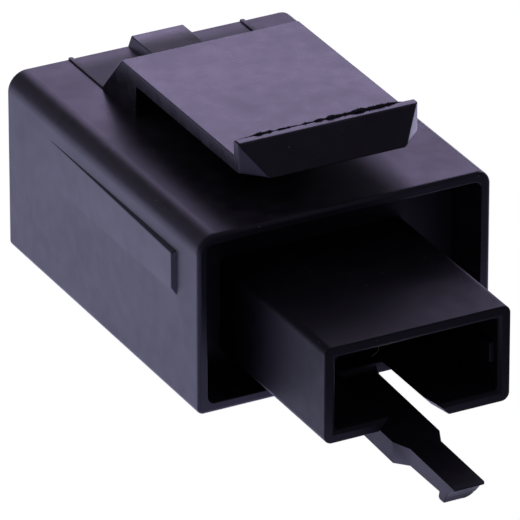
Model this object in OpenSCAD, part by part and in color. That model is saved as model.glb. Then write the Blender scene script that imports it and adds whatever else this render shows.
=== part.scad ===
// Automotive relay: a plug-in clapper relay in a moulded case with a snap-on bracket clip.
// The case lies on its flat bottom: +Z is up, -Y is the open end with the connector, +Y the closed end.
// Lengths are in millimetres.

/* [Case] */
// Width of the case across its side walls
case_w = 34; // [30:0.5:40]
// Height of the case without its clip
case_h = 20.4; // [19.5:0.1:24]
// Length of the case from mouth to closed end
case_l = 43.8; // [42:0.2:50]
// Wall thickness at the mouth
case_wall = 1.15; // [0.9:0.05:1.3]
// Wall thickness behind the base plate
case_inner_wall = 1.5; // [1.4:0.05:1.7]
// Thickness of the closed end
case_end_wall = 1.6; // [1.2:0.1:2]
// Radius of the long top edge on the left
case_left_r = 2.2; // [1.4:0.1:2.4]
// Radius of the long top edge on the right
case_right_r = 1.6; // [1:0.1:2]
// Radius of the two long bottom edges
case_bottom_r = 0.7; // [0.5:0.1:1]
// Radius of the corners inside the case
case_inner_r = 0.8; // [0.5:0.1:1]
// How far the side wedges stand proud at their front ends
wedge_proud = 0.45; // [0.3:0.05:1]
// Length of the side wedges
wedge_l = 28.5; // [20:0.5:32]
// Height of the side wedges
wedge_h = 4.8; // [3:0.1:5.5]
// Drop from the top of the case to the side wedges
wedge_drop = 3.5; // [2.5:0.1:4]
// Distance of the side wedges from the mouth
wedge_setback = 5.1; // [3:0.1:6]

/* [Bracket clip] */
// Width of the clip
clip_w = 21; // [16:0.5:24]
// Sideways place of the clip's middle
clip_x = 0.65; // [-1:0.05:1]
// Gap between the clip's plate and the case
clip_gap = 3.5; // [2.5:0.1:5]
// Thickness of the clip's plate
clip_t = 1.65; // [1.3:0.05:2]
// Distance from the mouth to the inner face of the leg
clip_leg_y = 27.9; // [25:0.1:29]
// Thickness of the leg where it meets the plate
clip_leg_t = 3.4; // [2.5:0.1:4]
// How far the leg's outer face runs back from the plate to the case
clip_leg_run = 4.6; // [3:0.1:5]
// Distance from the mouth to the back of the lip
lip_y = 5.95; // [4.5:0.05:8]
// Thickness of the lip at its top
lip_t = 1.2; // [0.9:0.05:1.6]
// How far the lip rises above the plate
lip_rise = 1.75; // [1:0.05:2.5]
// How far the lip's sloped front runs forward to its lower edge
lip_run = 2.5; // [1.5:0.1:3]
// Cut across the lip's left corner
clip_cut_left = 2.5; // [1.5:0.1:3]
// Cut across the lip's right corner
clip_cut_right = 2.9; // [1.5:0.1:3.4]
// Width of the block behind the leg
block_w = 6.4; // [4:0.1:8]
// Height of the block behind the leg
block_h = 1.1; // [0.8:0.05:1.5]
// Width of the witness ridges behind the leg
ridge_w = 0.55; // [0.3:0.05:0.8]
// Height of the witness ridges
ridge_h = 0.2; // [0.1:0.05:0.4]

/* [Base and connector] */
// Depth of the base plate's face inside the mouth
base_recess = 6.1; // [5.5:0.1:7]
// Thickness of the base plate
base_t = 2.5; // [2:0.1:3]
// Clearance between the base plate and the case
base_clearance = 0.08; // [0.04:0.01:0.12]
// Outside width of the connector shroud
shroud_w = 21.4; // [20.5:0.1:22]
// Outside height of the connector shroud
shroud_h = 10.9; // [10.2:0.1:11.3]
// How far the shroud stands out of the mouth
shroud_reach = 16.7; // [14:0.1:18]
// Wall thickness of the shroud
shroud_wall = 1.35; // [1.1:0.05:1.5]
// Radius of the shroud's outer corners
shroud_r = 0.9; // [0.5:0.05:1.3]
// Sideways place of the shroud's middle
shroud_x = -0.6; // [-1:0.05:0]
// Height of the shroud's underside above the case's bottom
shroud_z = 3.1; // [2.9:0.1:3.6]
// The slot runs straight, and its right edge turns out a little at the mouth
module slot() {
    pivot = [shroud_x + slot_dx + slot_w / 2, slot_mouth_l - shroud_reach, 0];
    along_y(-shroud_reach - 1, slot_end_y) slot_section();
    translate(pivot) rotate([0, 0, atan(slot_mouth_flare / slot_mouth_l)]) translate(-pivot)
        along_y(-shroud_reach - 1, pivot[1]) slot_section();
}

// Chamfer round the shroud's inner edge at its mouth
shroud_lead_in = 0.35; // [0.2:0.05:0.5]
// Width of the slot at the inner face of the shroud's lower wall
slot_w = 5.05; // [4:0.05:6]
// How much wider the slot is at the outer face, on each side
slot_flare = 1.25; // [0.8:0.05:1.5]
// Length of the slot back from the shroud's mouth
slot_l = 11.3; // [8:0.1:12]
// How much the slot's right edge turns out at the shroud's mouth
slot_mouth_flare = 0.5; // [0.2:0.05:0.8]
// Length of that turn
slot_mouth_l = 2.6; // [2:0.1:4]
// Sideways place of the slot's middle, from the shroud's middle
slot_dx = -0.6; // [-1:0.05:0.5]
// Width of the key rib on the shroud's side wall
key_h = 2.3; // [1.5:0.1:3]
// How far the key rib stands off the wall
key_proud = 0.6; // [0.3:0.05:0.8]

/* [Latch arm] */
// Width of the latch arm at its root
latch_w = 5.4; // [4.5:0.1:5.6]
// Sideways place of the arm's middle, from the shroud's middle
latch_dx = -1.3; // [-1.5:0.05:-0.5]
// Thickness of the arm at its root
latch_t = 2.5; // [2.2:0.05:2.7]
// Thickness of the arm at its hook
latch_tip_t = 1.8; // [1.5:0.05:2]
// How far the arm stands out past the shroud's mouth
latch_reach = 13.4; // [10:0.1:15]
// Downward slope of the arm in degrees
latch_slope = 2.15; // [1.8:0.05:2.6]
// Height of the arm's top over the shroud's underside, at the slot's back end
latch_lift = 0.33; // [0.2:0.01:0.4]
// Radius of the fillet between the arm's top and the slot's back end
latch_fillet = 0.9; // [0.5:0.05:1]
// Width of the arm's nose
nose_w = 3.6; // [3:0.1:4]
// Length of the nose
nose_l = 9.3; // [7:0.1:10]
// Length of the shoulders between arm and nose
shoulder_l = 2; // [1.5:0.1:2.5]
// Distance from the arm's tip to the back of its hook
hook_setback = 3.2; // [2.8:0.1:4]
// Length of the hook along its lower edge
hook_l = 1; // [0.7:0.05:1.3]
// Hollow of the hook's curved front
hook_hollow = 0.35; // [0.1:0.05:0.5]
// Radius of the round at the hook's lower right corner
hook_side_r = 1.4; // [1:0.1:1.6]
// Radius of the tip's right corner
tip_corner_r = 0.45; // [0.2:0.05:0.7]

/* [Terminals] */
// Width of the blades
blade_w = 6.3; // [4.8:0.1:6.3]
// Thickness of the blades
blade_t = 0.8; // [0.6:0.05:0.8]
// Distance between neighbouring blades
blade_pitch = 4.4; // [4.2:0.05:4.6]
// Length of blade inside the shroud
blade_l = 9.2; // [7:0.1:10]
// Width of the contact carrier strip
carrier_w = 5; // [4:0.1:5.5]

/* [Magnet system] */
// Diameter of the core
core_d = 6; // [5:0.1:6.2]
// Diameter of the pole head
pole_d = 9.6; // [8:0.1:10]
// Thickness of the pole head
pole_t = 1.2; // [1:0.1:1.3]
// Thickness of the yoke's iron
yoke_t = 1.5; // [1.2:0.05:1.6]
// How much narrower the yoke is than the bobbin's flanges, on each side
yoke_inset = 2.3; // [2.2:0.05:2.6]
// Distance between the base plate and the yoke's foot
yoke_standoff = 3; // [2.6:0.1:3.2]
// Distance between the bobbin's flanges, outside
bobbin_l = 19.5; // [17:0.1:19.8]
// How far the bobbin's flanges stand out beyond the winding
flange_rise = 0.6; // [0.5:0.05:0.7]
// Thickness of the bobbin's flanges
flange_t = 1.1; // [0.8:0.05:1.3]
// Wall of the bobbin's tube
tube_wall = 0.75; // [0.5:0.05:0.9]
// Outside diameter of the winding
winding_d = 13.4; // [11:0.1:13.5]
// Thickness of the tape round the winding
tape_t = 0.2; // [0.1:0.05:0.25]
// Diameter of the coil pins
pin_d = 0.8; // [0.6:0.05:0.9]
// Diameter of the resistor's body
resistor_d = 2; // [1.6:0.1:2.2]

/* [Armature and contacts] */
// Thickness of the armature
armature_t = 1.4; // [1.2:0.05:1.6]
// Width of the armature
armature_w = 12; // [11:0.1:12.4]
// Gap between armature and pole head at rest
pole_gap = 0.55; // [0.5:0.01:0.6]
// Running gap between the armature and the yoke's end
hinge_gap = 0.05; // [0.03:0.01:0.08]
// Thickness of the contact spring
leaf_t = 0.25; // [0.2:0.01:0.3]
// Width of the contact spring
leaf_w = 5; // [4:0.1:5.2]
// Diameter of the contacts' heads
contact_d = 3.2; // [2.8:0.1:3.4]
// Height of the contacts' heads
contact_h = 0.8; // [0.6:0.05:0.9]
// Gap between the contacts at rest
contact_gap = 0.9; // [0.88:0.01:1]
// Wire diameter of the return spring
spring_wire = 0.3; // [0.25:0.01:0.35]
// Outside diameter of the return spring
spring_d = 1.9; // [1.6:0.05:2]
// Number of turns of the return spring
spring_turns = 13; // [8:1:16]

/* [Hidden] */
$fn = 48;
e = 0.01;

black = [0.13, 0.12, 0.16];
steel = [0.62, 0.62, 0.6];
tin = [0.75, 0.74, 0.7];
copper = [0.72, 0.38, 0.2];
silver = [0.85, 0.84, 0.8];

// Places along Y are measured back from the mouth, and the whole part is then centred on its length.
tip_y = -(shroud_reach + latch_reach);
mouth_y = -(case_l + tip_y) / 2;

// Base plate and connector
plate_y = base_recess;
plate_back = plate_y + base_t;
plate_w = case_w - 2 * (case_wall + base_clearance);
plate_h = case_h - 2 * (case_wall + base_clearance);
plate_r = case_inner_r - base_clearance / 2;
shroud_mid_z = shroud_z + shroud_h / 2;
socket_w = shroud_w - 2 * shroud_wall;
socket_h = shroud_h - 2 * shroud_wall;
floor_depth = 1.6;
socket_floor = plate_y - floor_depth;
key_setback = 0.9;
key_l = 8;

// Latch arm: its top face leaves the shroud's underside at the slot's back end
latch_x = shroud_x + latch_dx;
slot_end_y = slot_l - shroud_reach;
latch_root_l = 5;
latch_root_y = slot_end_y + latch_root_l;
latch_root_z = shroud_z + latch_lift + latch_root_l * tan(latch_slope);
function latch_top(y) = latch_root_z - (latch_root_y - y) * tan(latch_slope);
nose_y = tip_y + nose_l;
shoulder_y = nose_y + shoulder_l;
hook_y = tip_y + hook_setback;

// Terminals: four blades in a row, with their own thickness across X
function blade_x(i) = shroud_x + (i - 1.5) * blade_pitch;
blade_tip_y = socket_floor - blade_l;
tail_y = plate_back + 2.2;

// Magnet system, stacked back from the base plate, with the coil's axis at half the case's height
coil_z = case_h / 2;
flange_w = winding_d + 2 * flange_rise;
yoke_w = flange_w - 2 * yoke_inset;
foot_y = plate_back + yoke_standoff;
foot_back = foot_y + yoke_t;
stack_gap = 0.1;
bobbin_y = foot_back + stack_gap;
bobbin_back = bobbin_y + bobbin_l;
pole_y = bobbin_back + stack_gap;
pole_face = pole_y + pole_t;
armature_y = pole_face + pole_gap;
armature_back = armature_y + armature_t;
yoke_end = armature_y - hinge_gap;
leaf_y = armature_back;
leaf_back = leaf_y + leaf_t;

// Across the case from its left wall: return spring, yoke leg, coil
side_gap = 0.55;
spring_gap = 0.35;
leg_gap = 0.3;
spring_x = -case_w / 2 + case_inner_wall + side_gap + spring_d / 2;
leg_out = spring_x + spring_d / 2 + spring_gap;
leg_in = leg_out + yoke_t;
coil_x = leg_in + leg_gap + flange_w / 2;
tenon_d = core_d - 1.5;
foot_reach = 4.5;
foot_end = coil_x + core_d / 2 + foot_reach;
yoke_bend_r = yoke_t + 0.4;
post_w = 1.6;
bobbin_bore_gap = 0.05;
tube_d = core_d + 2 * (bobbin_bore_gap + tube_wall);
tape_gap = 0.02;

// Contacts, and the carrier strip beside the case's right wall with the base's tower behind it
tower_gap = 0.3;
tower_t = 1.4;
tower_l = 15;
carrier_t = blade_t;
carrier_x = case_w / 2 - case_inner_wall - tower_gap - tower_t - carrier_t;
contact_x = carrier_x - contact_d / 2 - 0.8;
moving_face = leaf_y - contact_h;
fixed_face = moving_face - contact_gap;
carrier_top = fixed_face - contact_h;
contact_tail = 0.4;
dome_r = 6;
rivet_shank_d = 1.5;
rivet_spread = 3.4;
rivet_xs = [coil_x - rivet_spread, coil_x + rivet_spread];

// Armature outline, with a neck between the yoke's ears
armature_reach = 3.4;
armature_end = coil_x + pole_d / 2 + armature_reach;
ear_w = 1.8;
ear_gap = 0.2;
neck_w = yoke_w - 2 * (ear_w + ear_gap);
neck_end = leg_in + 0.3;
stop_gap = 0.02;
finger_t = 1;
rivet_head_d = 2.8;
rivet_head_h = 0.6;

// Return spring: its end loops pass through a lug on the yoke and one on the armature
spring_r = (spring_d - spring_wire) / 2;
loop_in = spring_r - spring_wire / 2;
lug_y = foot_y + 4.4;
lug_t = 0.6;
lug_end = 0.25;
lug_hole_d = 0.8;
lug_hole_x = 0.65;
hook_play = 0.15;
loop_a = lug_y + loop_in - 0.05;
loop_b = armature_y + lug_t + hook_play - loop_in;

// Coil pins stand in the front flange behind the terminals' tails, and carry the winding's wrapped ends
wire_d = 0.2;
wraps = 5;
tape_margin = 0.6;
tail_z = coil_z - flange_w / 2 + 1.1;
tail_w = 1.6;
tab_t = 0.5;
pin_boss = 0.9;
pin_spread = 5.2;
function pin_x(i) = coil_x + (i == 0 ? -1 : 1) * pin_spread;
function lead_x(i) = pin_x(i) + (pin_d + wire_d) / 2;
resistor_l = 4.6;
resistor_x = (blade_x(0) + blade_x(2)) / 2;
resistor_y = plate_back + 0.1 + resistor_d / 2;
pin_front = tail_y - 0.65;

module from_mouth() translate([0, mouth_y, 0]) children();

// Rectangle with rounded corners, from circles and squares
module round_rect(w, h, r) {
    square([w - 2 * r, h], center = true);
    square([w, h - 2 * r], center = true);
    for (sx = [-1, 1], sz = [-1, 1])
        translate([sx * (w / 2 - r), sz * (h / 2 - r)]) circle(r);
}

// A profile drawn in X and Z, made solid from y0 to y1
module along_y(y0, y1) translate([0, y1, 0]) rotate([90, 0, 0]) linear_extrude(y1 - y0) children();

// A profile drawn in Y and Z, made solid from x0 to x1
module along_x(x0, x1) translate([x0, 0, 0]) rotate([90, 0, 90]) linear_extrude(x1 - x0) children();

// A profile drawn in X and Y, made solid from z0 to z1
module along_z(z0, z1) translate([0, 0, z0]) linear_extrude(z1 - z0) children();

module box_at(x0, x1, y0, y1, z0, z1) translate([x0, y0, z0]) cube([x1 - x0, y1 - y0, z1 - z0]);

module rod_y(x, z, y0, y1, d, $fn = $fn) translate([x, y1, z]) rotate([90, 0, 0])
    cylinder(d = d, h = y1 - y0);

/* Case */

module case_profile() {
    a = case_w / 2;
    q = case_bottom_r;
    translate([case_left_r - a, 0]) square([case_w - case_left_r - case_right_r, case_h]);
    for (s = [-1, 1]) {
        r = s < 0 ? case_left_r : case_right_r;
        inner = a - r - 1;
        polygon([
            [s * inner, 0], [s * (a - q), 0], [s * (a - q), q],
            [s * a, q], [s * a, case_h - r], [s * inner, case_h - r]
        ]);
        translate([s * (a - r), case_h - r]) circle(r);
        translate([s * (a - q), q]) circle(q);
    }
}

module cavity(wall, y0, y1) along_y(y0, y1) translate([0, case_h / 2])
    round_rect(case_w - 2 * wall, case_h - 2 * wall, case_inner_r);

module clip_section() polygon([
    [clip_leg_y, -0.3],
    [clip_leg_y, clip_gap],
    [lip_y - lip_t - lip_run, clip_gap],
    [lip_y - lip_t, clip_gap + clip_t + lip_rise],
    [lip_y, clip_gap + clip_t + lip_rise],
    [lip_y, clip_gap + clip_t],
    [clip_leg_y + clip_leg_t, clip_gap + clip_t],
    [clip_leg_y + clip_leg_t + clip_leg_run, 0],
    [clip_leg_y + clip_leg_t + clip_leg_run, -0.3]
]);

// Plan of the clip: its two front corners are cut at 45 degrees
module clip_plan() {
    front = lip_y - lip_t - lip_run;
    back = clip_leg_y + clip_leg_t + clip_leg_run + 1;
    polygon([
        [clip_cut_left - clip_w / 2, front], [clip_w / 2 - clip_cut_right, front],
        [clip_w / 2, front + clip_cut_right], [clip_w / 2, back],
        [-clip_w / 2, back], [-clip_w / 2, front + clip_cut_left]
    ]);
}

module clip() translate([clip_x, 0, 0]) {
    root = clip_leg_y + clip_leg_t + clip_leg_run;
    intersection() {
        translate([0, 0, case_h]) along_x(-clip_w / 2, clip_w / 2) clip_section();
        along_z(case_h - 1, case_h + clip_gap + clip_t + lip_rise + 1) clip_plan();
    }
    // Block in the middle, with one drafted side
    along_y(clip_leg_y + clip_leg_t, case_l) polygon([
        [-block_w / 2 - 0.3, case_h - 0.3], [block_w / 2, case_h - 0.3],
        [block_w / 2, case_h + block_h], [-block_w / 2 + 0.2, case_h + block_h]
    ]);
    for (s = [-1, 1])
        translate([s * (clip_w - ridge_w) / 2, 0, 0])
            box_at(-ridge_w / 2, ridge_w / 2, root - 1, case_l, case_h - 0.3, case_h + ridge_h);
}

module side_wedge() along_z(case_h - wedge_drop - wedge_h, case_h - wedge_drop) polygon([
    [case_w / 2 - 0.4, wedge_setback],
    [case_w / 2 + wedge_proud, wedge_setback],
    [case_w / 2, wedge_setback + wedge_l],
    [case_w / 2 - 0.4, wedge_setback + wedge_l]
]);

// Snap nibs on the base plate's long edges, and the pockets in the case that they spring into
nib_w = 6;
nib_l = 1.2;
nib_h = 0.35;
nib_y = plate_y + (base_t - nib_l) / 2;
module nibs(grow) for (x = [-1, 1] * case_w / 4)
    box_at(x - nib_w / 2 - grow, x + nib_w / 2 + grow, nib_y - grow, nib_y + nib_l + grow,
        case_wall + base_clearance - nib_h - grow, case_h - case_wall - base_clearance + nib_h + grow);

module case() color(black) from_mouth() difference() {
    union() {
        along_y(0, case_l) case_profile();
        clip();
        side_wedge();
        mirror([1, 0, 0]) side_wedge();
    }
    cavity(case_wall, -1, plate_back);
    cavity(case_inner_wall, plate_back - e, case_l - case_end_wall);
    nibs(base_clearance);
}

/* Base */

module shroud_section(w, h, r) translate([shroud_x, shroud_mid_z]) round_rect(w, h, r);

// Side view of the arm, with a hooked finger at its end
module latch_side() {
    tip_z = latch_top(tip_y) - 0.15;
    nose_z = latch_top(hook_y) - latch_tip_t;
    heel = [hook_y - hook_l, 0];
    // Centre of the arc that hollows the hook's front, from its heel up to the tip
    chord = norm(heel - [tip_y, tip_z]);
    arc_r = (chord * chord / 4 + hook_hollow * hook_hollow) / (2 * hook_hollow);
    along = (heel - [tip_y, tip_z]) / chord;
    centre = (heel + [tip_y, tip_z]) / 2 + (arc_r - hook_hollow) * [along[1], -along[0]];
    root_fillet = [for (a = [90:-15:0]) let (y = slot_end_y - latch_fillet * (1 - sin(a)))
        [y, latch_top(y) + latch_fillet * (1 - cos(a))]];
    difference() {
        polygon(concat(root_fillet, [
            [tip_y, latch_top(tip_y)], [tip_y, tip_z], heel,
            [hook_y - 0.1, 0], [hook_y + 0.15, 0.25], [hook_y, nose_z], [nose_y, nose_z],
            [shoulder_y, latch_top(shoulder_y) - latch_t],
            [latch_root_y - 1.2, latch_top(latch_root_y) - latch_t],
            [latch_root_y, latch_top(latch_root_y) - latch_t + 1.15],
            [latch_root_y, latch_top(latch_root_y) + latch_fillet]
        ]));
        translate(centre) circle(arc_r, $fn = 96);
    }
}

// Plan of the arm: shoulders step it down to a narrower nose
module latch_plan() {
    a = latch_w / 2;
    b = nose_w / 2;
    c = 0.2;
    r = tip_corner_r;
    tip_corner = [for (t = [0:18:90]) [b - r + r * sin(t), tip_y + r - r * cos(t)]];
    translate([latch_x, 0]) polygon(concat(
        [[-a, latch_root_y], [-a, shoulder_y], [-b, nose_y], [-b, tip_y + c], [c - b, tip_y]],
        tip_corner, [[b, nose_y], [a, shoulder_y], [a, latch_root_y]]
    ));
}

// What the round at the hook's lower right corner takes away
module hook_corner() along_y(tip_y - 1, hook_y + 0.3) translate([latch_x + nose_w / 2 - hook_side_r, 0])
    difference() {
        translate([0, -1]) square([hook_side_r + 1, hook_side_r + 1]);
        translate([0, hook_side_r]) circle(hook_side_r);
    }

module latch_arm() difference() {
    intersection() {
        along_x(latch_x - latch_w, latch_x + latch_w) latch_side();
        along_z(-1, shroud_z + shroud_wall) latch_plan();
    }
    hook_corner();
}

// Trapezoid slot through the lower wall, wider at the outer face
module slot_section() {
    a = slot_w / 2;
    b = a + slot_flare;
    k = slot_flare / shroud_wall;
    top = shroud_z + shroud_wall;
    translate([shroud_x + slot_dx, 0]) polygon([
        [-b - k, shroud_z - 1], [b + k, shroud_z - 1], [a - k * 0.4, top + 0.4], [k * 0.4 - a, top + 0.4]
    ]);
}

// Chamfer round the shroud's inner edge at its mouth: two tapered prisms that cross make mitred corners
module taper(half) polygon([
    [-half - shroud_lead_in - 1, -1], [half + shroud_lead_in + 1, -1],
    [half, shroud_lead_in], [-half, shroud_lead_in]
]);

module lead_in() translate([shroud_x, -shroud_reach, shroud_mid_z]) intersection() {
    along_z(-shroud_h, shroud_h) taper(socket_w / 2);
    mirror([1, 0, -1]) along_z(-shroud_w, shroud_w) taper(socket_h / 2);
}

module blade_windows() for (i = [0:3]) {
    box_at(blade_x(i) - blade_t / 2, blade_x(i) + blade_t / 2, plate_y - 4, plate_back + 1,
        shroud_mid_z - blade_w / 2, shroud_mid_z + blade_w / 2);
}

module base_body() {
    along_y(plate_y, plate_back) translate([0, case_h / 2]) round_rect(plate_w, plate_h, plate_r);
    nibs(0);
    along_y(-shroud_reach, plate_y + e) shroud_section(shroud_w, shroud_h, shroud_r);
    latch_arm();
    // Posts that carry the yoke's foot, and the tower that stiffens the contact carrier
    for (x = [leg_out + yoke_bend_r, foot_end - post_w], s = [-1, 1])
        translate([0, 0, coil_z + s * (yoke_w / 2 - 1)])
            box_at(x, x + post_w, plate_back - e, foot_y, -1, 1);
    box_at(carrier_x + carrier_t, carrier_x + carrier_t + tower_t, plate_back - e,
        plate_back + tower_l, coil_z - carrier_w / 2 - 0.8, coil_z + carrier_w / 2 + 0.8);
}

module base() color(black) from_mouth() difference() {
    base_body();
    difference() {
        along_y(-shroud_reach - 1, socket_floor) shroud_section(socket_w, socket_h, 0.4);
        // Key rib on the side wall
        box_at(shroud_x + socket_w / 2 - key_proud, shroud_x + socket_w / 2 + 1,
            -shroud_reach + key_setback, -shroud_reach + key_setback + key_l,
            shroud_mid_z - key_h / 2, shroud_mid_z + key_h / 2);
    }
    difference() {
        slot();
        latch_arm();
    }
    lead_in();
    blade_windows();
}

/* Terminals */

module blade_outline() {
    w = blade_w / 2;
    z = shroud_mid_z;
    polygon([
        [blade_tip_y, z - w + 1.1], [blade_tip_y + 1, z - w], [plate_back, z - w],
        [plate_back, z + w], [blade_tip_y + 1, z + w], [blade_tip_y, z + w - 1.1]
    ]);
}

module blade(i) along_x(blade_x(i) - blade_t / 2, blade_x(i) + blade_t / 2) difference() {
    blade_outline();
    translate([blade_tip_y + 3, shroud_mid_z]) circle(d = 1.8);
}

module coil_terminal(i) color(tin) from_mouth() {
    blade(i);
    along_x(blade_x(i) - blade_t / 2, blade_x(i) + blade_t / 2) polygon([
        [plate_back - e, shroud_mid_z - blade_w / 2], [plate_back - e, shroud_mid_z],
        [plate_back + 0.5, shroud_mid_z], [plate_back + 1.1, tail_z + tail_w / 2],
        [tail_y, tail_z + tail_w / 2], [tail_y, tail_z - tail_w / 2],
        [plate_back + 0.02, tail_z - tail_w / 2], [plate_back + 0.02, shroud_mid_z - blade_w / 2]
    ]);
    // Tab that the coil pin is welded to
    box_at(min(blade_x(i) - blade_t / 2, pin_x(i) - pin_d / 2),
        max(blade_x(i) + blade_t / 2, pin_x(i) + pin_d / 2),
        tail_y - tab_t, tail_y, tail_z - tail_w / 2, tail_z + tail_w / 2);
}

module coil_terminal_a() coil_terminal(0);
module coil_terminal_b() coil_terminal(2);

// The common blade's tail is welded to the front of the yoke's foot
module common_terminal() color(tin) from_mouth() {
    blade(1);
    box_at(blade_x(1) - blade_t / 2, blade_x(1) + blade_t / 2, plate_back - e, foot_y,
        shroud_mid_z - blade_w / 2 + 1, shroud_mid_z + blade_w / 2 - 1);
}

// Bend of a strip in plan: a quarter ring round x, y with the given outer radius
module strip_bend(x, y, r, t, qx, qy) translate([x, y]) intersection() {
    difference() {
        circle(r);
        circle(r - t);
    }
    translate([qx > 0 ? 0 : -r, qy > 0 ? 0 : -r]) square(r);
}

// One folded strip: blade, a run behind the base, the upright beside the coil and the contact ledge
module contact_terminal() color(tin) from_mouth() {
    t = carrier_t;
    r = 1.4;
    x4 = blade_x(3);
    run_y = plate_back + 0.4;
    blade(3);
    difference() {
        along_z(coil_z - carrier_w / 2, coil_z + carrier_w / 2) {
            translate([x4 - t / 2, plate_back - e]) square([t, 0.4 + t]);
            translate([x4 - t / 2, run_y]) square([carrier_x + t - r - x4 + t / 2, t]);
            strip_bend(carrier_x + t - r, run_y + r, r, t, 1, -1);
            translate([carrier_x, run_y + r]) square([t, carrier_top - 2 * r - run_y]);
            strip_bend(carrier_x + t - r, carrier_top - r, r, t, 1, 1);
            translate([contact_x - 2.2, carrier_top - t]) square([carrier_x + t - r - contact_x + 2.2, t]);
        }
        rod_y(contact_x, coil_z, carrier_top - 2, carrier_top + 1, rivet_shank_d);
    }
}

module contact_rivet(x, face, back, tail) {
    // Head with a lightly domed face, a shank through its strip and an upset tail
    translate([x, face, coil_z]) rotate([-90, 0, 0]) rotate_extrude() {
        intersection() {
            translate([0, dome_r]) circle(dome_r, $fn = 96);
            square([contact_d / 2, contact_h]);
        }
        translate([0, contact_h - e]) square([rivet_shank_d / 2, back - face - contact_h + 2 * e]);
        translate([0, back - face]) square([contact_d / 2 - 0.5, tail]);
    }
}

module fixed_contact() color(silver) from_mouth() translate([0, 2 * fixed_face, 0]) mirror([0, 1, 0])
    contact_rivet(contact_x, fixed_face, fixed_face + contact_h + carrier_t, contact_tail);

/* Magnet system */

module yoke() color(steel) from_mouth() difference() {
    union() {
        along_z(coil_z - yoke_w / 2, coil_z + yoke_w / 2) {
            r = yoke_bend_r;
            translate([leg_out + r, foot_y]) square([foot_end - leg_out - r, yoke_t]);
            strip_bend(leg_out + r, foot_y + r, r, yoke_t, -1, -1);
            translate([leg_out, foot_y + r]) square([yoke_t, yoke_end - foot_y - r]);
        }
        // Ears at the hinge end
        for (s = [-1, 1]) translate([0, 0, coil_z + s * (yoke_w - ear_w) / 2])
            box_at(leg_out, leg_in, yoke_end - e, armature_back + 0.3, -ear_w / 2, ear_w / 2);
        // Lug for the return spring
        box_at(spring_x - lug_end, leg_out + e, lug_y, lug_y + lug_t, coil_z - 1.2, coil_z + 1.2);
    }
    rod_y(coil_x, coil_z, foot_y - 1, foot_back + 1, tenon_d);
    rod_y(spring_x + lug_hole_x, coil_z, lug_y - 1, lug_y + lug_t + 1, lug_hole_d);
}

module core() color(steel) from_mouth() translate([coil_x, foot_y, coil_z]) rotate([-90, 0, 0])
    rotate_extrude() {
        square([tenon_d / 2, yoke_t]);
        translate([0, yoke_t]) square([core_d / 2, pole_y - foot_back + e]);
        translate([0, pole_y - foot_y]) square([pole_d / 2 - 0.3, pole_t]);
        translate([0, pole_y - foot_y]) square([pole_d / 2, pole_t - 0.3]);
    }

module flange(y) along_y(y, y + flange_t) translate([coil_x, coil_z]) round_rect(flange_w, flange_w, 1.2);

module bobbin() color("ivory") from_mouth() difference() {
    stop_z = coil_z + armature_w / 2;
    post_x = armature_end + 0.3;
    union() {
        flange(bobbin_y);
        flange(bobbin_back - flange_t);
        rod_y(coil_x, coil_z, bobbin_y, bobbin_back, tube_d);
        for (i = [0, 2])
            box_at(pin_x(i) - pin_boss, pin_x(i) + pin_boss, bobbin_y, bobbin_y + flange_t,
                tail_z - pin_boss, tail_z + pin_boss);
        // Stop finger that the armature rests against, on an arm of the rear flange
        along_z(stop_z - 2.4, stop_z + 0.4) polygon([
            [coil_x + flange_w / 2 - 1.5, bobbin_back - flange_t],
            [post_x + finger_t, bobbin_back - flange_t],
            [post_x + finger_t, armature_back + stop_gap + finger_t],
            [armature_end - 1, armature_back + stop_gap + finger_t],
            [armature_end - 1, armature_back + stop_gap],
            [post_x, armature_back + stop_gap],
            [post_x, bobbin_back],
            [coil_x + flange_w / 2 - 1.5, bobbin_back]
        ]);
    }
    rod_y(coil_x, coil_z, bobbin_y - 1, bobbin_back + 1, core_d + 2 * bobbin_bore_gap);
    for (i = [0, 2]) {
        rod_y(pin_x(i), tail_z, bobbin_y - 1, bobbin_y + flange_t + 1, pin_d);
        // Notch for the winding's lead-out
        box_at(lead_x(i) - wire_d, lead_x(i) + wire_d, bobbin_y - 1, bobbin_y + flange_t + 1,
            coil_z - flange_w / 2 - 1, tail_z + wire_d);
    }
}

module ball_at(x, y, z, d) translate([x, y, z]) sphere(d = d, $fn = 16);

// Winding, and at each end a lead-out that runs through the flange and is wrapped on its pin
module coil_winding() color(copper) from_mouth() {
    lead_y = bobbin_y + flange_t + 0.3;
    wrap_y = bobbin_y - 0.35;
    difference() {
        rod_y(coil_x, coil_z, bobbin_y + flange_t, bobbin_back - flange_t, winding_d);
        rod_y(coil_x, coil_z, bobbin_y, bobbin_back, tube_d);
    }
    for (i = [0, 2]) {
        s = sign(coil_x - lead_x(i) + e);
        x_in = coil_x - s * 1.6;
        rod_y(lead_x(i), tail_z, wrap_y, lead_y - 0.05, wire_d, $fn = 16);
        ball_at(lead_x(i), lead_y, tail_z, wire_d * 1.5);
        translate([min(lead_x(i) - 0.05, x_in), lead_y, tail_z]) rotate([0, 90, 0])
            cylinder(d = wire_d, h = abs(x_in - lead_x(i)) - 0.05, $fn = 16);
        translate([pin_x(i), wrap_y, tail_z]) rotate([90, 0, 0]) rotate_extrude($fn = 32)
            translate([pin_d / 2, 0]) {
                translate([0.005, -wire_d / 2]) square([wire_d / 2, wraps * wire_d]);
                for (k = [0:wraps - 1]) translate([wire_d * 0.6, k * wire_d])
                    circle(d = wire_d * 1.04, $fn = 16);
            }
    }
}

module coil_tape() color("goldenrod") from_mouth() difference() {
    d = winding_d + 2 * tape_gap;
    rod_y(coil_x, coil_z, bobbin_y + flange_t + tape_margin, bobbin_back - flange_t - 0.1, d + 2 * tape_t);
    rod_y(coil_x, coil_z, bobbin_y, bobbin_back, d);
}

module coil_pin(i) color(tin) from_mouth()
    rod_y(pin_x(i), tail_z, tail_y, bobbin_y + flange_t, pin_d);

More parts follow.
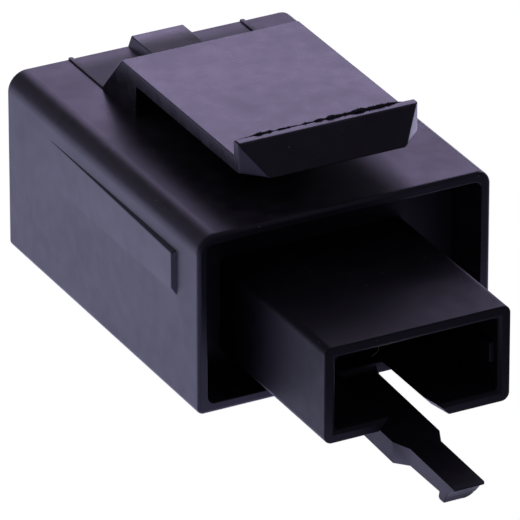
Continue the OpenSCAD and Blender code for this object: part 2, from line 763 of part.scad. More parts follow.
module coil_pin_a() coil_pin(0);
module coil_pin_b() coil_pin(2);

/* Suppression resistor, between the coil terminals' tails */

// Body with a slightly thicker bell at each end
module resistor_body() color("tan") from_mouth()
    translate([resistor_x - resistor_l / 2, resistor_y, tail_z]) rotate([0, 90, 0]) rotate_extrude() {
        r = resistor_d / 2;
        bell = 1.3;
        square([r - 0.12, resistor_l]);
        for (z = [0, resistor_l - bell]) {
            translate([0, z]) square([r - 0.35, bell]);
            translate([0, z + 0.35]) square([r, bell - 0.7]);
            for (q = [0.35, bell - 0.35]) translate([r - 0.35, z + q]) circle(0.35, $fn = 24);
        }
    }

module resistor_lead(x0, x1) color(tin) from_mouth()
    translate([x0, resistor_y, tail_z]) rotate([0, 90, 0]) cylinder(d = 0.5, h = x1 - x0);

module resistor_lead_a() resistor_lead(blade_x(0) + blade_t / 2, resistor_x - resistor_l / 2);
module resistor_lead_b() resistor_lead(resistor_x + resistor_l / 2, blade_x(2) - blade_t / 2);

/* Armature */

module armature() color(steel) from_mouth() difference() {
    union() {
        along_y(armature_y, armature_back) polygon([
            [leg_out - 0.1, coil_z - neck_w / 2], [neck_end, coil_z - neck_w / 2],
            [neck_end, coil_z - armature_w / 2], [armature_end - 1, coil_z - armature_w / 2],
            [armature_end, coil_z - armature_w / 2 + 1], [armature_end, coil_z + armature_w / 2 - 1],
            [armature_end - 1, coil_z + armature_w / 2], [neck_end, coil_z + armature_w / 2],
            [neck_end, coil_z + neck_w / 2], [leg_out - 0.1, coil_z + neck_w / 2]
        ]);
        // Coined lug that the return spring pulls on
        box_at(spring_x - lug_end, leg_out, armature_y, armature_y + lug_t, coil_z - 1.5, coil_z + 1.5);
    }
    rod_y(spring_x + lug_hole_x, coil_z, armature_y - 1, armature_back + 1, lug_hole_d);
    for (x = rivet_xs) rod_y(x, coil_z, armature_y - 1, armature_back + 1, rivet_shank_d);
}

module contact_spring() color("goldenrod") from_mouth() difference() {
    along_y(leaf_y, leaf_back) {
        w = leaf_w / 2;
        v = contact_d / 2 + 0.3;
        polygon([
            [neck_end, coil_z - w], [armature_end, coil_z - w], [armature_end + 2.5, coil_z - v],
            [contact_x, coil_z - v], [contact_x, coil_z + v], [armature_end + 2.5, coil_z + v],
            [armature_end, coil_z + w], [neck_end, coil_z + w]
        ]);
        translate([contact_x, coil_z]) circle(v);
    }
    for (x = rivet_xs) rod_y(x, coil_z, leaf_y - 1, leaf_back + 1, rivet_shank_d);
    rod_y(contact_x, coil_z, leaf_y - 1, leaf_back + 1, rivet_shank_d);
}

module moving_contact() color(silver) from_mouth()
    contact_rivet(contact_x, moving_face, leaf_back, contact_tail);

module armature_rivets() color(steel) from_mouth() for (x = rivet_xs)
    translate([x, armature_y, coil_z]) rotate([-90, 0, 0]) rotate_extrude() {
        square([rivet_shank_d / 2, leaf_back - armature_y + e]);
        translate([0, leaf_back - armature_y]) intersection() {
            square([rivet_head_d / 2, rivet_head_h]);
            translate([0, rivet_head_h - rivet_head_d * 0.7]) circle(rivet_head_d * 0.7);
        }
    }

/* Return spring */

// The wire's centre line: an end loop in the X-Y plane, the helix round Y, and the other end loop
loop_steps = 14;
turn_steps = 16;
helix_a = loop_a + 0.3;
helix_b = loop_b - 0.3;
helix_n = spring_turns * turn_steps;
function loop_angle(k) = 70 + 290 * k / loop_steps;
spring_path = concat(
    [for (k = [0:loop_steps]) [cos(loop_angle(k)) * spring_r, loop_a + sin(loop_angle(k)) * spring_r, 0]],
    [for (k = [0:helix_n])
        [cos(360 * k / turn_steps) * spring_r, helix_a + (helix_b - helix_a) * k / helix_n,
            sin(360 * k / turn_steps) * spring_r]],
    [for (k = [loop_steps:-1:0])
        [cos(loop_angle(k)) * spring_r, loop_b - sin(loop_angle(k)) * spring_r, 0]]
);
wire_sides = 6;

// A round wire along a centre line, with its section turned by way of the direction up
function unit(v) = v / norm(v);
function tangent(p, k) = unit(p[min(k + 1, len(p) - 1)] - p[max(k - 1, 0)]);
function in_loop(k) = k <= loop_steps || k > loop_steps + 1 + helix_n;
function across(k) = in_loop(k) ? [0, 0, 1] : [0, -1, 0];
function ring(p, k) = let (
    t = tangent(p, k),
    n = unit(across(k) - (across(k) * t) * t),
    b = cross(t, n)
) [for (j = [0:wire_sides - 1])
    p[k] + (cos(360 * j / wire_sides) * n + sin(360 * j / wire_sides) * b) * spring_wire / 2];

module return_spring() color(steel) from_mouth() translate([spring_x, 0, coil_z]) {
    m = wire_sides;
    last = len(spring_path) - 1;
    polyhedron(
        points = [for (k = [0:last]) each ring(spring_path, k)],
        faces = concat(
            [[for (j = [0:m - 1]) j]],
            [for (k = [0:last - 1], j = [0:m - 1])
                [k * m + j, (k + 1) * m + j, (k + 1) * m + (j + 1) % m, k * m + (j + 1) % m]],
            [[for (j = [m - 1:-1:0]) last * m + j]]
        )
    );
}

case();
base();
coil_terminal_a();
coil_terminal_b();
common_terminal();
contact_terminal();
fixed_contact();
yoke();
core();
bobbin();
coil_winding();
coil_tape();
coil_pin_a();
coil_pin_b();
resistor_body();
resistor_lead_a();
resistor_lead_b();
armature();
contact_spring();
moving_contact();
armature_rivets();
return_spring();
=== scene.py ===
# %% [markdown]
# Automotive relay in Blender.
#
# The relay is two black mouldings, a case with a bracket clip and a base with a connector, that
# hide a small electromagnet with its contacts. The shapes come packed and measured, in metres.
# This lesson sets up a camera, gives the pieces real surfaces and light, and then soft edges and
# the fine traces that a mould and a winding machine leave.

# %% Load the frame
import bpy
import bmesh
import math
from mathutils import Matrix, Vector


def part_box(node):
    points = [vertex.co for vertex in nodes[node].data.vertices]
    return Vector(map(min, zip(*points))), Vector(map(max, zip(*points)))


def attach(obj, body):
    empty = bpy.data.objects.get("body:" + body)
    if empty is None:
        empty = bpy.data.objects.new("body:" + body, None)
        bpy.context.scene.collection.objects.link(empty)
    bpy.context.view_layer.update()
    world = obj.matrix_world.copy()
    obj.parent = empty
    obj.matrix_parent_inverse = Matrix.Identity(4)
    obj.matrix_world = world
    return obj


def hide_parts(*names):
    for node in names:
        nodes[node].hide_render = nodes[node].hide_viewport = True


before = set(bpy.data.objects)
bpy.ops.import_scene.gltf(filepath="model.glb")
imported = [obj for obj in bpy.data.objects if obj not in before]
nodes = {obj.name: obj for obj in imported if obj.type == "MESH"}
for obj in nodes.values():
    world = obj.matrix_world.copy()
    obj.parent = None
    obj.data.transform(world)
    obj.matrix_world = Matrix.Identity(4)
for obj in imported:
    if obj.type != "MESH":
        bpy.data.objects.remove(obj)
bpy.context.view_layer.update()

MM = 0.001
print("pieces in the frame:", len(nodes))

# %% [markdown]
# ## Places to measure from
#
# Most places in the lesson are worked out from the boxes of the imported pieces, so that they follow
# them. The front of the case is its mouth, from which depths are measured, and a wedge stands
# proud of each side wall, so that the wall itself lies a little inside the box. The relay's middle
# is at x = 0 and its underside at z = 0, and a few places that no box shows are typed from there.

# %% Measure the mouldings
TOUCH = 0.01 * MM
case_lo, case_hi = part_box("case")
base_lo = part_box("base")[0]
mouth_y = case_lo.y
end_y = case_hi.y
clip_top = case_hi.z
wedge_proud = 0.45 * MM
half_w = case_hi.x - wedge_proud
case_top = 20.4 * MM
lip_back = mouth_y + 5.95 * MM
base_face = mouth_y + 6 * MM
shroud_mouth = mouth_y - 16.7 * MM
under_shroud = 3.05 * MM
socket_ceiling = 12.65 * MM
print("mouth at", round(mouth_y / MM, 2), "mm, clip top at", round(clip_top / MM, 2), "mm")

# %% [markdown]
# ## The camera
#
# A camera far away with a long lens keeps the edges of a box almost parallel, which suits a part
# that is all straight edges. Its place could be typed as a point and three angles, but two angles
# and a distance round a target are easier to read and to change.

# %% Camera
def make_camera(azimuth, elevation, distance, target, slide, rise, width):
    """Looks at target from azimuth degrees left of the front, and sees width metres across."""
    a, e = math.radians(azimuth), math.radians(elevation)
    right = Vector((math.cos(a), -math.sin(a), 0))
    back = Vector((-math.sin(a) * math.cos(e), -math.cos(a) * math.cos(e), math.sin(e)))
    up = back.cross(right)
    data = bpy.data.cameras.new("camera")
    data.sensor_width = 36
    data.lens = 36 * distance / width
    data.clip_start = 0.01
    data.clip_end = 10
    camera = bpy.data.objects.new("camera", data)
    place = target + back * distance + right * slide + up * rise
    turn = Matrix((right, up, back)).transposed().to_4x4()
    camera.matrix_world = Matrix.Translation(place) @ turn
    bpy.context.collection.objects.link(camera)
    bpy.context.scene.camera = camera
    return camera

target = Vector((0, mouth_y + 16 * MM, 10 * MM))
camera = make_camera(azimuth=27.68, elevation=26.92, distance=0.854, target=target,
                     slide=-1.31 * MM, rise=-2.90 * MM, width=54.17 * MM)
print("lens:", round(camera.data.lens), "mm")

# %% [markdown]
# ## Node helpers
#
# A material is a small graph of nodes. It could be drawn by hand in the shader editor, but a few
# short helpers write the same graph and keep each recipe readable: one starts a material, one adds
# a node with its settings, and one joins two sockets.

# %% Start, add and join
def new_material(name):
    material = bpy.data.materials.new(name)
    material.use_nodes = True
    tree = material.node_tree
    return material, tree, tree.nodes["Principled BSDF"]


def add(tree, kind, **settings):
    """A node with some of its inputs or properties set."""
    node = tree.nodes.new(kind)
    for key, value in settings.items():
        if key in node.inputs:
            node.inputs[key].default_value = value
        else:
            setattr(node, key, value)
    return node


def join(tree, out_socket, in_socket):
    tree.links.new(out_socket, in_socket)

# %% [markdown]
# Patterns are read in the piece's own metres, its Object coordinates, so that a grain keeps its
# real size on every piece and moves with it.

# %% Patterns and arithmetic
def on_object(tree):
    return add(tree, "ShaderNodeTexCoord").outputs["Object"]


def noise_on_object(tree, scale, detail=3.0, stretch=(1, 1, 1)):
    """Noise whose blots are about 1 / scale metres wide."""
    mapping = add(tree, "ShaderNodeMapping", Scale=stretch)
    grain = add(tree, "ShaderNodeTexNoise", Scale=scale, Detail=detail)
    join(tree, on_object(tree), mapping.inputs["Vector"])
    join(tree, mapping.outputs["Vector"], grain.inputs["Vector"])
    return grain.outputs["Fac"]


def spread(tree, value, low, high, start=0.3, end=0.7):
    """Maps a value that runs from start to end to the range low..high."""
    remap = add(tree, "ShaderNodeMapRange")
    for label, number in (("From Min", start), ("From Max", end), ("To Min", low), ("To Max", high)):
        remap.inputs[label].default_value = number
    join(tree, value, remap.inputs["Value"])
    return remap.outputs["Result"]


def split(tree, vector):
    """The three parts of a vector, or of a colour."""
    parts = add(tree, "ShaderNodeSeparateXYZ")
    join(tree, vector, parts.inputs[0])
    return parts.outputs


def reckon(tree, operation, first, second):
    """One step of arithmetic on sockets or plain numbers."""
    node = add(tree, "ShaderNodeMath", operation=operation)
    for socket, value in zip(node.inputs, (first, second)):
        if isinstance(value, (int, float)):
            socket.default_value = value
        else:
            join(tree, value, socket)
    return node.outputs[0]

# %% Blends and bump
def blend_colours(tree, value, dark, light):
    """A colour that follows noise, from dark at 0.3 to light at 0.7."""
    ramp = add(tree, "ShaderNodeValToRGB")
    for element, position, colour in zip(ramp.color_ramp.elements, (0.3, 0.7), (dark, light)):
        element.position = position
        element.color = (*colour, 1)
    join(tree, value, ramp.inputs["Fac"])
    return ramp.outputs["Color"]

# Where a Mix node keeps its two inputs and its result, for each kind of value
MIX_SOCKETS = {"FLOAT": (2, 3, 0), "RGBA": (6, 7, 2)}

def mix(tree, kind, share, first, second):
    """Goes from first to second, sockets or colours, as share goes from 0 to 1."""
    node = add(tree, "ShaderNodeMix", data_type=kind)
    join(tree, share, node.inputs[0])
    *inputs, result = MIX_SOCKETS[kind]
    for place, value in zip(inputs, (first, second)):
        if isinstance(value, tuple):
            node.inputs[place].default_value = (*value, 1)
        else:
            join(tree, value, node.inputs[place])
    return node.outputs[result]


def grain_bump(tree, shader, height, strength, depth):
    bump = add(tree, "ShaderNodeBump", Strength=strength, Distance=depth)
    join(tree, height, bump.inputs["Height"])
    join(tree, bump.outputs["Normal"], shader.inputs["Normal"])

# %% [markdown]
# ## Black moulded plastic
#
# Glass-filled plastic is black with a soft gloss, and what one sees of it is nearly all reflection.
# A dark colour with one roughness would look like paint, so the roughness does most of the work:
# broad clouds where the melt flowed, smaller blotches from handling, and a polished clip on a duller
# case. A pale haze lies on the faces that look up and to the left: on the tops it is dust, and on the
# left sides it is painted light, a lighter colour on the side that faces the light. A few specks of
# dust stick everywhere.

# %% Where the plastic is polished, hazy with dust and painted light, or dusty
clip_from = case_top + 0.6 * MM
CLOUDS, BLOTCHES, FINE_GRAIN = 130, 520, 3000

def cloudy_noise(tree):
    """Broad clouds, and the same with smaller blotches laid over them in equal parts."""
    clouds = noise_on_object(tree, CLOUDS, 3)
    blotches = noise_on_object(tree, BLOTCHES, 2.5)
    half_clouds = reckon(tree, "MULTIPLY", clouds, 0.5)
    half_blotches = reckon(tree, "MULTIPLY", blotches, 0.5)
    return clouds, reckon(tree, "ADD", half_clouds, half_blotches)


def polished_share(tree):
    """1 on the clip, which starts above the case's flat top, and up to 0.3 on the side wedges."""
    x, _, z = split(tree, on_object(tree))
    on_clip = spread(tree, z, 0, 1, clip_from, clip_from + 0.2 * MM)
    aside = reckon(tree, "ABSOLUTE", x, 0)
    on_wedge = spread(tree, aside, 0, 0.30, half_w, half_w + 0.12 * MM)
    return reckon(tree, "MAXIMUM", on_clip, on_wedge)


# Where the pale haze goes: dust on the faces that look up, and painted light on those that look left.
def dust_and_lit_side_share(tree):
    """1 on faces that look up or to the left, and 0 on the others: dust on the tops, painted light on
    the left sides.
    """
    x, _, z = split(tree, add(tree, "ShaderNodeTexCoord").outputs["Normal"])
    up = spread(tree, z, 0, 1, 0.4, 0.9)
    left = spread(tree, x, 1, 0, -0.9, -0.4)
    return reckon(tree, "MAXIMUM", up, left)


def specks(tree, scale, radius, share):
    """1 where the surface cuts one of the small balls that are scattered through space."""
    balls = add(tree, "ShaderNodeTexVoronoi", Scale=scale, Randomness=1.0)
    join(tree, on_object(tree), balls.inputs["Vector"])
    near = reckon(tree, "LESS_THAN", balls.outputs["Distance"], radius * scale)
    chosen = reckon(tree, "LESS_THAN", split(tree, balls.outputs["Color"])[0], share)
    return reckon(tree, "MULTIPLY", near, chosen)

# %% Moulded plastic
BARE_DARK, BARE_LIGHT = (0.003, 0.0027, 0.005), (0.007, 0.0064, 0.010)
# Dark end of the pale haze, which is dust on the tops and painted light on the left sides.
DUST_AND_LIT_SIDE_DARK = (0.004, 0.0037, 0.006)
DUST = (0.34, 0.30, 0.27)
SPECK_CELLS, SPECK_R = 1100, 0.055 * MM

def moulded_black(name, dull, dust_and_lit_side_light, speck_share, tint, ior=1.31, polished=None):
    """Black plastic; dull is its range of roughness, and polished that of its clip, if it has one."""
    material, tree, shader = new_material(name)
    clouds, clouds_and_blotches = cloudy_noise(tree)
    dull_gloss = spread(tree, clouds_and_blotches, *dull)
    clip_gloss = spread(tree, clouds_and_blotches, *(polished or dull))
    roughness = mix(tree, "FLOAT", polished_share(tree), dull_gloss, clip_gloss)
    join(tree, roughness, shader.inputs["Roughness"])

    bare = blend_colours(tree, clouds, BARE_DARK, BARE_LIGHT)
    # The pale haze on up and left faces: dust on the tops, painted light on the left sides.
    dust_and_lit_side = blend_colours(tree, clouds_and_blotches, DUST_AND_LIT_SIDE_DARK, dust_and_lit_side_light)
    with_dust_and_lit_side = mix(tree, "RGBA", dust_and_lit_side_share(tree), bare, dust_and_lit_side)
    dusty = specks(tree, SPECK_CELLS, SPECK_R, speck_share)
    dusted = mix(tree, "RGBA", dusty, with_dust_and_lit_side, DUST)
    join(tree, dusted, shader.inputs["Base Color"])

    shader.inputs["Specular Tint"].default_value = (*tint, 1)
    shader.inputs["IOR"].default_value = ior
    grain_bump(tree, shader, noise_on_object(tree, FINE_GRAIN, 2), 0.12, 0.01 * MM)
    return material

# The light haze colours below are dust on the tops and painted light on the left sides.
case_black = moulded_black("case_black", dull=(0.34, 0.44), polished=(0.23, 0.33),
                           dust_and_lit_side_light=(0.034, 0.031, 0.040), speck_share=0.10, tint=(0.85, 0.80, 1.0))
base_black = moulded_black("base_black", dull=(0.44, 0.56), ior=1.24,
                           dust_and_lit_side_light=(0.008, 0.007, 0.011), speck_share=0.16, tint=(0.90, 0.86, 1.0))
latch_black = moulded_black("latch_black", dull=(0.34, 0.42),
                            dust_and_lit_side_light=(0.014, 0.012, 0.018), speck_share=0.10, tint=(0.90, 0.86, 1.0))
print("plastics:", case_black.name, base_black.name, latch_black.name)

# %% [markdown]
# ## Metals, wire and former
#
# The works inside are tin, silver, zinc-plated iron, bronze, spring wire, enamelled copper, tape,
# lacquer and pale nylon. A rolled or drawn metal has fine streaks along its length, and a plated
# one a cloudy bloom. Each could have a recipe of its own, but one serves them all: noise that can
# be stretched, for colour, roughness and a shallow bump.

# %% Finishes of the works
def finish(name, dark, light, rough, scale, stretch=(1, 1, 1), metallic=1.0, coat=0.0):
    """A metal or a plastic whose colour, roughness and bump follow one noise."""
    material, tree, shader = new_material(name)
    grain = noise_on_object(tree, scale, 4, stretch)
    join(tree, blend_colours(tree, grain, dark, light), shader.inputs["Base Color"])
    join(tree, spread(tree, grain, *rough), shader.inputs["Roughness"])
    shader.inputs["Metallic"].default_value = metallic
    shader.inputs["Coat Weight"].default_value = coat
    grain_bump(tree, shader, grain, 0.4, 0.004 * MM)
    return material

ALONG_Y = (1, 0.06, 1)
ALONG_X = (0.06, 1, 1)
TAPE_GRAIN = (1, 0.3, 1)
finishes = {
    "terminal_tin": finish("tin", (0.66, 0.65, 0.62), (0.76, 0.75, 0.72), (0.30, 0.44), 2600, ALONG_Y),
    "contact_silver": finish("silver", (0.80, 0.79, 0.75), (0.90, 0.89, 0.85), (0.16, 0.30), 900),
    "magnet_iron": finish("zinc_plate", (0.50, 0.51, 0.50), (0.66, 0.66, 0.63), (0.32, 0.50), 700),
    "coil_former": finish("former_nylon", (0.74, 0.71, 0.61), (0.84, 0.81, 0.72), (0.48, 0.62), 500,
                          metallic=0.0),
    "copper_wire": finish("copper_enamel", (0.56, 0.21, 0.09), (0.74, 0.33, 0.15), (0.18, 0.30), 1500,
                          coat=0.6),
    "coil_tape": finish("tape_film", (0.66, 0.42, 0.11), (0.80, 0.55, 0.19), (0.28, 0.40), 420,
                        TAPE_GRAIN, metallic=0.0, coat=0.3),
    "resistor_coat": finish("resistor_lacquer", (0.54, 0.43, 0.30), (0.68, 0.56, 0.41), (0.34, 0.46),
                            800, metallic=0.0, coat=0.2),
    "spring_bronze": finish("bronze_strip", (0.64, 0.43, 0.22), (0.78, 0.56, 0.33), (0.22, 0.36), 2200,
                            ALONG_X),
    "spring_steel": finish("spring_wire", (0.48, 0.48, 0.49), (0.60, 0.60, 0.60), (0.22, 0.34), 1800),
}

# %% Put the finishes on the works
painted = 0
for node in nodes.values():
    slot = node.material_slots[0]
    if slot.material.name in finishes:
        slot.material = finishes[slot.material.name]
        painted += 1
print("finishes:", len(finishes), "on", painted, "pieces")

# %% [markdown]
# ## Light
#
# The backdrop is white to the camera. White all round would wash a black gloss out to grey, so the
# gloss gets something to show: a pale floor that is darker towards the front, a large soft box
# behind the relay on the right, a dim one on the left, and a dim room for the rest. Light Path tells
# the rays apart, and each kind gets its own strength.

# %% Tones and strengths
bpy.context.scene.view_settings.view_transform = "Standard"

LAMP_TONE = (0.73, 0.61, 1.0)
FLOOR_TONE = (0.70, 0.68, 1.0)
ROOM_TONE = (0.86, 0.83, 1.0)
PLAIN = 0.14
ROOM = 0.34
FLOOR_BEHIND = 2.24
FLOOR_IN_FRONT = 0.50

# The floor mixes in a little paper to hold the shadow, so its white is a touch over 1
PAPER_SHARE = 0.06
WHITE = 1.06

# %% Light that depends on the ray
def emitter(tree, kind, colour, strength):
    return add(tree, kind, Color=(*colour, 1), Strength=strength)


def mix_shaders(tree, share, first, second):
    """Goes from first to second as share, a number or a socket, goes from 0 to 1."""
    node = add(tree, "ShaderNodeMixShader")
    if isinstance(share, float):
        node.inputs["Fac"].default_value = share
    else:
        join(tree, share, node.inputs["Fac"])
    join(tree, first, node.inputs[1])
    join(tree, second, node.inputs[2])
    return node.outputs[0]


def by_ray(tree, kind, reflected):
    """White where it is seen or shines through, its own tone in a gloss, and plain light otherwise."""
    rays = add(tree, "ShaderNodeLightPath").outputs
    plain = emitter(tree, kind, ROOM_TONE, PLAIN)
    white = emitter(tree, kind, (1, 1, 1), WHITE)
    seen = reckon(tree, "MAXIMUM", rays["Is Camera Ray"], rays["Is Transmission Ray"])
    unseen = mix_shaders(tree, rays["Is Glossy Ray"], plain.outputs[0], reflected.outputs[0])
    return mix_shaders(tree, seen, unseen, white.outputs[0])


def empty_tree(owner):
    """Switches nodes on for a world or a material and clears what it starts with."""
    owner.use_nodes = True
    owner.node_tree.nodes.clear()
    return owner.node_tree

# %% World
world = bpy.data.worlds.new("studio")
world_tree = empty_tree(world)
room = emitter(world_tree, "ShaderNodeBackground", ROOM_TONE, ROOM)
world_out = add(world_tree, "ShaderNodeOutputWorld")
join(world_tree, by_ray(world_tree, "ShaderNodeBackground", room), world_out.inputs["Surface"])
bpy.context.scene.world = world
print("the room gives", ROOM, "in a gloss and", PLAIN, "elsewhere")

# %% [markdown]
# The floor's tone in a gloss runs from dim in front of the relay to bright beside and behind it, as
# on a table with a window behind it. It runs back and to the left, the way that the camera's line
# of sight goes on after it glances off the left wall. A Map Range node on the floor's own
# coordinates does this, and a gradient image would have to be kept beside the file.

# %% Floor
BACK_AND_LEFT = (-0.5, 0.87, 0)
DIM_UNTIL = -38 * MM
BRIGHT_FROM = -16 * MM

def floor_glow(tree):
    """The floor as a gloss sees it."""
    along = add(tree, "ShaderNodeVectorMath", operation="DOT_PRODUCT")
    along.inputs[1].default_value = BACK_AND_LEFT
    join(tree, on_object(tree), along.inputs[0])
    strength = add(tree, "ShaderNodeMapRange", interpolation_type="SMOOTHSTEP")
    strength.inputs["From Min"].default_value = DIM_UNTIL
    strength.inputs["From Max"].default_value = BRIGHT_FROM
    strength.inputs["To Min"].default_value = FLOOR_IN_FRONT
    strength.inputs["To Max"].default_value = FLOOR_BEHIND
    join(tree, along.outputs["Value"], strength.inputs["Value"])
    glow = emitter(tree, "ShaderNodeEmission", FLOOR_TONE, 1.0)
    join(tree, strength.outputs["Result"], glow.inputs["Strength"])
    return glow

floor_white = bpy.data.materials.new("floor_white")
floor_tree = empty_tree(floor_white)
paper = add(floor_tree, "ShaderNodeBsdfDiffuse", Color=(0.85, 0.85, 0.85, 1))
lit = by_ray(floor_tree, "ShaderNodeEmission", floor_glow(floor_tree))
floor_out = add(floor_tree, "ShaderNodeOutputMaterial")
surface = mix_shaders(floor_tree, PAPER_SHARE, lit, paper.outputs[0])
join(floor_tree, surface, floor_out.inputs["Surface"])

bpy.ops.mesh.primitive_plane_add(size=1.6, location=(0, 0, -0.02 * MM))
floor = bpy.context.object
floor.name = "floor"
floor.data.materials.append(floor_white)
print("the floor gives", FLOOR_IN_FRONT, "to", FLOOR_BEHIND, "in a gloss")

# %% Soft boxes
def soft_box(name, azimuth, elevation, distance, width, height, radiance):
    """An area lamp that faces the relay, from azimuth degrees right of straight behind."""
    a, e = math.radians(azimuth), math.radians(elevation)
    away = Vector((math.sin(a) * math.cos(e), math.cos(a) * math.cos(e), math.sin(e)))
    data = bpy.data.lights.new(name, "AREA")
    data.shape = "RECTANGLE"
    data.size, data.size_y = width, height
    data.color = LAMP_TONE
    data.energy = radiance * math.pi * width * height
    lamp = bpy.data.objects.new(name, data)
    lamp.location = Vector((0, 0, 10 * MM)) + away * distance
    lamp.rotation_euler = away.to_track_quat("Z", "Y").to_euler()
    bpy.context.collection.objects.link(lamp)
    print(name, "gives", round(data.energy, 2), "W")

soft_box("back_soft_box", azimuth=35, elevation=26, distance=1.0, width=0.96, height=0.32,
         radiance=4.0)
soft_box("left_soft_box", azimuth=-35, elevation=20, distance=1.0, width=0.60, height=0.36,
         radiance=0.45)

# %% [markdown]
# ## Soft edges
#
# A mould never gives a knife edge, and the thin highlights that run along the edges are what makes
# plastic look real. A rounding shader could fake them, but the export would lose it. So each
# moulding is copied, its triangles are joined into flat faces again, and a Bevel modifier rounds its
# outside edges, each as far as a weight on the edge says.

# %% Copies of the mouldings
def merged_copy(node, flat=0.5):
    """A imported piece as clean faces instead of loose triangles; flat is in degrees."""
    bm = bmesh.new()
    bm.from_mesh(nodes[node].data)
    bmesh.ops.remove_doubles(bm, verts=bm.verts, dist=1e-7)
    bmesh.ops.dissolve_limit(bm, angle_limit=math.radians(flat), verts=bm.verts, edges=bm.edges)
    return bm


def finish_piece(name, bm, material, slot, body, *replaced):
    """Makes the piece, hangs it on the body it rides, and hides the pieces that it stands in for."""
    mesh = bpy.data.meshes.new(name)
    bm.to_mesh(mesh)
    bm.free()
    piece = bpy.data.objects.new(name, mesh)
    bpy.context.collection.objects.link(piece)
    piece.data.materials.append(material)
    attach(piece, body)
    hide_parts(*replaced)
    return piece

# %% Rounding and shading
def middle(e):
    return (e.verts[0].co + e.verts[1].co) / 2


def weigh_edges(bm, width_at, widest, angle, smallest):
    """Weighs the sharp outer edges between large faces, and counts those that will be rounded."""
    weight = bm.edges.layers.float.new("bevel_weight_edge")
    count = 0
    for e in bm.edges:
        if len(e.link_faces) != 2 or not e.is_convex or e.calc_face_angle(0) < math.radians(angle):
            continue
        if min(f.calc_area() for f in e.link_faces) < smallest:
            continue
        e[weight] = width_at(e) / widest
        count += e[weight] > 0
    return count


def soften(piece, width_at, angle=28, widest=0.4 * MM, smallest=0.15 * MM * MM):
    """Rounds the piece's edges; width_at gives each edge's own width."""
    bm = bmesh.new()
    bm.from_mesh(piece.data)
    count = weigh_edges(bm, width_at, widest, angle, smallest)
    bm.to_mesh(piece.data)
    bm.free()
    bpy.context.view_layer.objects.active = piece
    bevel = piece.modifiers.new("soft_edges", "BEVEL")
    bevel.limit_method = "WEIGHT"
    bevel.width = widest
    bevel.segments = 3
    bevel.profile = 0.5
    bevel.use_clamp_overlap = False
    bpy.ops.object.modifier_apply(modifier=bevel.name)
    print("softened", count, "edges of", piece.name)


def shade(piece, angle=28):
    """Smooth shading whose normals follow the large faces, so that flat faces reflect as flat ones."""
    bpy.context.view_layer.objects.active = piece
    piece.select_set(True)
    bpy.ops.object.shade_smooth_by_angle(angle=math.radians(angle))
    weighted = piece.modifiers.new("weighted", "WEIGHTED_NORMAL")
    weighted.weight = 100
    weighted.keep_sharp = True
    bpy.ops.object.modifier_apply(modifier=weighted.name)
    piece.select_set(False)

# %% [markdown]
# ## The case
#
# Its edges differ: the rim and the closed end are worn round, the clip is crisp but for its lip,
# and the edges of the cavity stay sharp. One width for all would look like soap, so a rule gives
# each edge its own. The wedges on the side walls are worn as well: their top, bottom and front are
# slopes.

# %% Rounds of the case
RIM_OUTSIDE = 0.40 * MM
RIM_INSIDE = 0.14 * MM
LIP = 0.22 * MM
CLOSED_END = 0.20 * MM
OTHER_EDGES = 0.12 * MM

def in_the_opening(at):
    """Within the mouth's outline, where the rim's inner edge and the cavity are."""
    return abs(at.x) < half_w - MM and MM < at.z < case_top - MM


def case_edge(e):
    at = middle(e)
    if at.y < mouth_y + TOUCH:
        return RIM_INSIDE if in_the_opening(at) else RIM_OUTSIDE
    if in_the_opening(at) and at.y < end_y - 0.3 * MM:
        return 0
    if at.z > case_top + 3 * MM and at.y < lip_back + 0.55 * MM:
        return LIP
    if at.y > end_y - TOUCH and at.z < case_top + 0.1 * MM:
        return CLOSED_END
    return OTHER_EDGES

# %% Slopes of the side wedges
WEDGE_TOP_DROP = 0.35 * MM
WEDGE_BOTTOM_LIFT = 0.45 * MM
WEDGE_BOTTOM_RUN = 0.4 * MM
WEDGE_FRONT_RUN = 0.35 * MM
STANDS_PROUD = 0.1 * MM

def slope_wedges(bm):
    """Brings the outer corners of each wedge together and lets its root run out on the wall."""
    outer = [v.co for v in bm.verts if abs(v.co.x) > half_w + STANDS_PROUD]
    top, bottom = max(at.z for at in outer), min(at.z for at in outer)
    front = min(at.y for at in outer)
    for at in [v.co for v in bm.verts]:
        proud = abs(at.x) - half_w
        at_top, at_bottom = abs(at.z - top) < TOUCH, abs(at.z - bottom) < TOUCH
        if proud < -TOUCH or not (at_top or at_bottom):
            continue
        if proud > STANDS_PROUD:
            at.z += WEDGE_BOTTOM_LIFT if at_bottom else -WEDGE_TOP_DROP
            continue
        if at_bottom:
            at.z -= WEDGE_BOTTOM_RUN
        if abs(at.y - front) < TOUCH:
            at.y -= WEDGE_FRONT_RUN

# %% Case
bm = merged_copy("case")
slope_wedges(bm)
case_shell = finish_piece("case_shell", bm, case_black, "moulded_black", "housing", "case")
soften(case_shell, case_edge)
shade(case_shell, 17)

# %% [markdown]
# ## The base
#
# The shroud and the latch arm show, and what lies behind the face of the base plate doesn't, so only
# the first two get rounds. The latch arm is glossier than the shroud. It takes its finish as a second
# material on the same piece, because it is one moulding with the rest.

# %% Base
BASE_EDGES = 0.16 * MM
LATCH_EDGES = 0.08 * MM
latch_tip = base_lo.y + 14 * MM
latch_root = mouth_y - 12 * MM

def base_edge(e):
    at = middle(e)
    if at.y > base_face:
        return 0
    return LATCH_EDGES if at.y < latch_tip and at.z < under_shroud else BASE_EDGES

bm = merged_copy("base")
base_shell = finish_piece("base_shell", bm, base_black, "moulded_black", "housing", "base")
soften(base_shell, base_edge)
shade(base_shell)
base_shell.data.materials.append(latch_black)
for face in base_shell.data.polygons:
    if face.center.z < under_shroud and face.center.y < latch_root:
        face.material_index = 1

